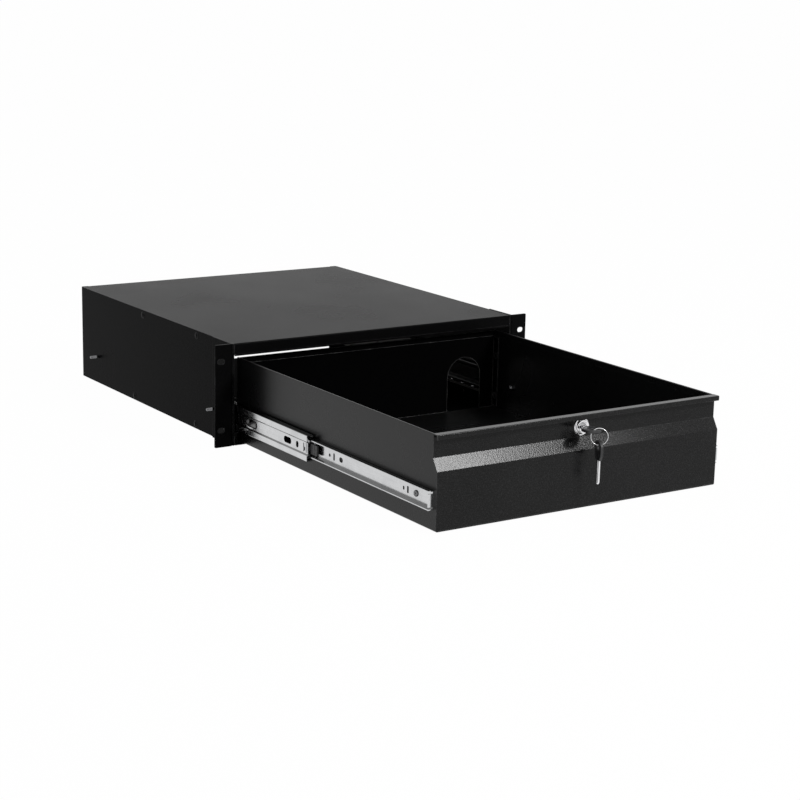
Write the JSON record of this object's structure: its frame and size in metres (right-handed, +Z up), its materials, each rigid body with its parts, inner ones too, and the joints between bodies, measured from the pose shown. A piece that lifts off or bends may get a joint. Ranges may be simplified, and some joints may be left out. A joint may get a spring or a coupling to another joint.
{
  "type": "sliding rack drawer",
  "caption": "Lockable sliding drawer in a black sheet-steel rack chassis with slotted ears, full-extension ball-bearing slides, recessed front with finger lip, cam lock and keys.",
  "frame": {"origin": "centre of the rack screw pattern, on the rear face of the rack ears", "axes": "+X to the right seen from the front, +Y back into the rack, +Z up"},
  "size_m": [0.4826, 0.9371, 0.1326],
  "materials": {
    "left_side_panel": "black powder coat",
    "right_side_panel": "black powder coat",
    "top_cover": "black powder coat",
    "bottom_panel": "black powder coat",
    "left_rack_ear": "black powder coat",
    "right_rack_ear": "black powder coat",
    "left_outer_slide": "zinc plated rolled steel",
    "right_outer_slide": "zinc plated rolled steel",
    "slide_mount_screws": "zinc plated",
    "chassis_rivets": "black",
    "drawer_tray": "black powder coat",
    "drawer_rear_wall": "black powder coat",
    "drawer_front_panel": "black powder coat",
    "drawer_lock_rail": "black powder coat",
    "drawer_front_lip": "black powder coat",
    "drawer_slide_screws": "zinc plated",
    "drawer_slide_nuts": "zinc plated",
    "drawer_rivets": "black",
    "left_inner_slide": "zinc plated rolled steel",
    "right_inner_slide": "zinc plated rolled steel",
    "lock_housing": "bright chrome",
    "lock_nut": "zinc plated",
    "left_intermediate_slide": "zinc plated rolled steel",
    "left_outer_ball_cage": "plated strip",
    "left_outer_balls": "polished steel balls",
    "left_inner_ball_cage": "plated strip",
    "left_inner_balls": "polished steel balls",
    "left_release_lever": "black moulded plastic",
    "right_intermediate_slide": "zinc plated rolled steel",
    "right_outer_ball_cage": "plated strip",
    "right_outer_balls": "polished steel balls",
    "right_inner_ball_cage": "plated strip",
    "right_inner_balls": "polished steel balls",
    "right_release_lever": "black moulded plastic",
    "lock_plug": "bright chrome",
    "lock_cam": "zinc plated",
    "cam_nut": "zinc plated",
    "lock_key_bow": "black moulded plastic",
    "lock_key_blade": "nickel plated",
    "key_ring": "nickel plated",
    "spare_key_bow": "black moulded plastic",
    "spare_key_blade": "nickel plated"
  },
  "bodies": {
    "chassis": {"left_side_panel": "left_side_panel", "right_side_panel": "right_side_panel", "top_cover": "top_cover", "bottom_panel": "bottom_panel", "left_rack_ear": "left_rack_ear", "right_rack_ear": "right_rack_ear", "left_outer_slide": "left_outer_slide", "right_outer_slide": "right_outer_slide", "slide_mount_screws": "slide_mount_screws", "chassis_rivets": "chassis_rivets"},
    "drawer": {"drawer_tray": "drawer_tray", "drawer_rear_wall": "drawer_rear_wall", "drawer_front_panel": "drawer_front_panel", "drawer_lock_rail": "drawer_lock_rail", "drawer_front_lip": "drawer_front_lip", "drawer_slide_screws": "drawer_slide_screws", "drawer_slide_nuts": "drawer_slide_nuts", "drawer_rivets": "drawer_rivets", "left_inner_slide": "left_inner_slide", "right_inner_slide": "right_inner_slide", "lock_housing": "lock_housing", "lock_nut": "lock_nut"},
    "left_intermediate": {"left_intermediate_slide": "left_intermediate_slide"},
    "left_outer_cage": {"left_outer_ball_cage": "left_outer_ball_cage", "left_outer_balls": "left_outer_balls"},
    "left_inner_cage": {"left_inner_ball_cage": "left_inner_ball_cage", "left_inner_balls": "left_inner_balls"},
    "left_lever": {"left_release_lever": "left_release_lever"},
    "right_intermediate": {"right_intermediate_slide": "right_intermediate_slide"},
    "right_outer_cage": {"right_outer_ball_cage": "right_outer_ball_cage", "right_outer_balls": "right_outer_balls"},
    "right_inner_cage": {"right_inner_ball_cage": "right_inner_ball_cage", "right_inner_balls": "right_inner_balls"},
    "right_lever": {"right_release_lever": "right_release_lever"},
    "lock_core": {"lock_plug": "lock_plug", "lock_cam": "lock_cam", "cam_nut": "cam_nut"},
    "key": {"lock_key_bow": "lock_key_bow", "lock_key_blade": "lock_key_blade"},
    "ring": {"key_ring": "key_ring"},
    "spare_key": {"spare_key_bow": "spare_key_bow", "spare_key_blade": "spare_key_blade"}
  },
  "joints": [
    {"name": "drawer_slide", "type": "slide", "parent": "chassis", "child": "drawer", "axis": [0, 1, 0], "range_m": [0, 0.44]},
    {"name": "left_intermediate_slide", "type": "slide", "parent": "chassis", "child": "left_intermediate", "axis": [0, 1, 0], "range_m": [0, 0.22]},
    {"name": "left_outer_cage_slide", "type": "slide", "parent": "chassis", "child": "left_outer_cage", "axis": [0, 1, 0], "range_m": [0, 0.11]},
    {"name": "left_inner_cage_slide", "type": "slide", "parent": "chassis", "child": "left_inner_cage", "axis": [0, 1, 0], "range_m": [0, 0.33]},
    {"name": "left_lever_tilt", "type": "hinge", "parent": "drawer", "child": "left_lever", "pos_m": [-0.207, -0.152, -0.0293], "axis": [1, 0, 0], "range_deg": [-4, 4]},
    {"name": "right_intermediate_slide", "type": "slide", "parent": "chassis", "child": "right_intermediate", "axis": [0, 1, 0], "range_m": [0, 0.22]},
    {"name": "right_outer_cage_slide", "type": "slide", "parent": "chassis", "child": "right_outer_cage", "axis": [0, 1, 0], "range_m": [0, 0.11]},
    {"name": "right_inner_cage_slide", "type": "slide", "parent": "chassis", "child": "right_inner_cage", "axis": [0, 1, 0], "range_m": [0, 0.33]},
    {"name": "right_lever_tilt", "type": "hinge", "parent": "drawer", "child": "right_lever", "pos_m": [0.207, -0.152, -0.0293], "axis": [1, 0, 0], "range_deg": [-4, 4]},
    {"name": "lock_turn", "type": "hinge", "parent": "drawer", "child": "lock_core", "pos_m": [0, -0.43, 0.0292], "axis": [0, -1, 0], "range_deg": [0, 90]},
    {"name": "key_pull", "type": "slide", "parent": "lock_core", "child": "key", "axis": [0, -1, 0], "range_m": [0, 0.027]},
    {"name": "ring_swing", "type": "hinge", "parent": "key", "child": "ring", "pos_m": [0.006, -0.4604, 0.0316], "axis": [0.8368, -0.5476, 0], "range_deg": [-25, 5]},
    {"name": "spare_key_swing", "type": "hinge", "parent": "ring", "child": "spare_key", "pos_m": [0.006, -0.4604, 0.01265], "axis": [0.95, -0.3123, 0], "range_deg": [-30, 10]}
  ],
  "couplings": [
    {"joint": "left_intermediate_slide", "follows": "drawer_slide", "ratio": 0.5},
    {"joint": "left_outer_cage_slide", "follows": "drawer_slide", "ratio": 0.25},
    {"joint": "left_inner_cage_slide", "follows": "drawer_slide", "ratio": 0.75},
    {"joint": "right_intermediate_slide", "follows": "drawer_slide", "ratio": 0.5},
    {"joint": "right_outer_cage_slide", "follows": "drawer_slide", "ratio": 0.25},
    {"joint": "right_inner_cage_slide", "follows": "drawer_slide", "ratio": 0.75}
  ]
}
